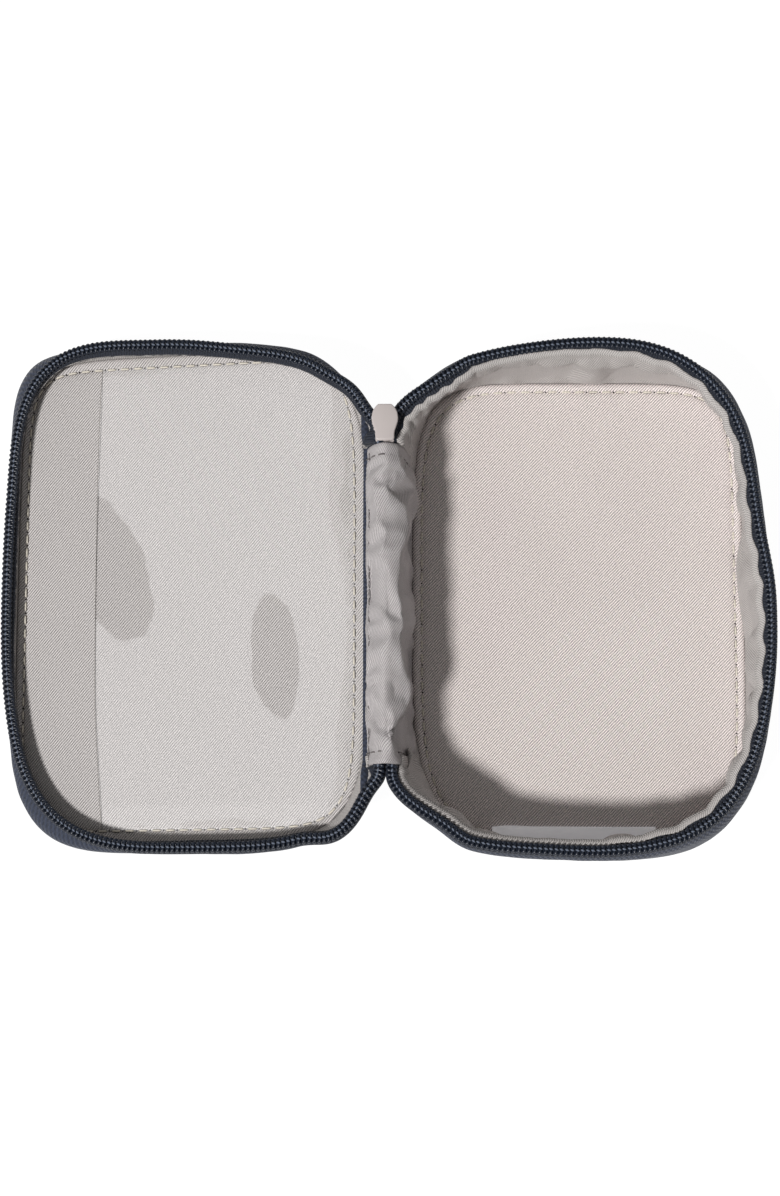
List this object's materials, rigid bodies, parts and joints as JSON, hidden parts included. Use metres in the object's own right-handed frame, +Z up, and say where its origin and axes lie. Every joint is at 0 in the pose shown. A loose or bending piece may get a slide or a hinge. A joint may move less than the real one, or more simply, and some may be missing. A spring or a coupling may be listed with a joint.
{
  "type": "travel pill organizer",
  "caption": "Soft zip-around travel case lying open: a deep tray and a shallow cover with a clear slip pocket, joined by a fabric spine, with a zipper slider and pull.",
  "frame": {"origin": "middle of the tray's flat underside, on the table plane", "axes": "+X from the cover towards the tray, across the open case; +Y along the spine hinge towards the slider; +Z up out of the tray"},
  "size_m": [0.1876, 0.1293, 0.0305],
  "materials": {
    "shell_twill": "matte",
    "lining": "satin",
    "zipper_nylon": "satin",
    "label_satin": "satin",
    "foam": "matte",
    "stiffener": "matte",
    "clear_vinyl": "gloss",
    "slider_metal": "satin"
  },
  "bodies": {
    "tray": {"tray_shell_panel": "shell_twill", "tray_stiffener_board": "stiffener", "tray_lining_panel": "lining", "tray_gusset": "shell_twill", "tray_wall_foam": "foam", "tray_gusset_lining": "lining", "tray_zipper_tape": "zipper_nylon", "tray_zipper_coil": "zipper_nylon", "care_label": "label_satin", "spine_shell": "shell_twill", "spine_lining": "lining", "zipper_chain_top": "zipper_nylon", "zipper_chain_bottom": "zipper_nylon"},
    "cover": {"cover_shell_panel": "shell_twill", "cover_foam_pad": "foam", "cover_lining_panel": "lining", "cover_clear_pocket": "clear_vinyl", "cover_gusset": "shell_twill", "cover_gusset_lining": "lining", "spine_lining_cover_end": "lining", "cover_zipper_tape": "zipper_nylon", "cover_zipper_coil": "zipper_nylon"},
    "slider": {"slider_body": "slider_metal"},
    "pull": {"pull_tab": "slider_metal"}
  },
  "joints": [
    {"name": "cover_hinge", "type": "hinge", "parent": "tray", "child": "cover", "pos_m": [-0.0472, 0, 0.028], "axis": [0, 1, 0], "range_deg": [0, 191]},
    {"name": "slider_travel", "type": "slide", "parent": "tray", "child": "slider", "axis": [0, 1, 0], "range_m": [0, 0.003]},
    {"name": "pull_swing", "type": "hinge", "parent": "slider", "child": "pull", "pos_m": [-0.0472, 0.0423, 0.0249], "axis": [1, 0, 0], "range_deg": [-60, 90]}
  ]
}
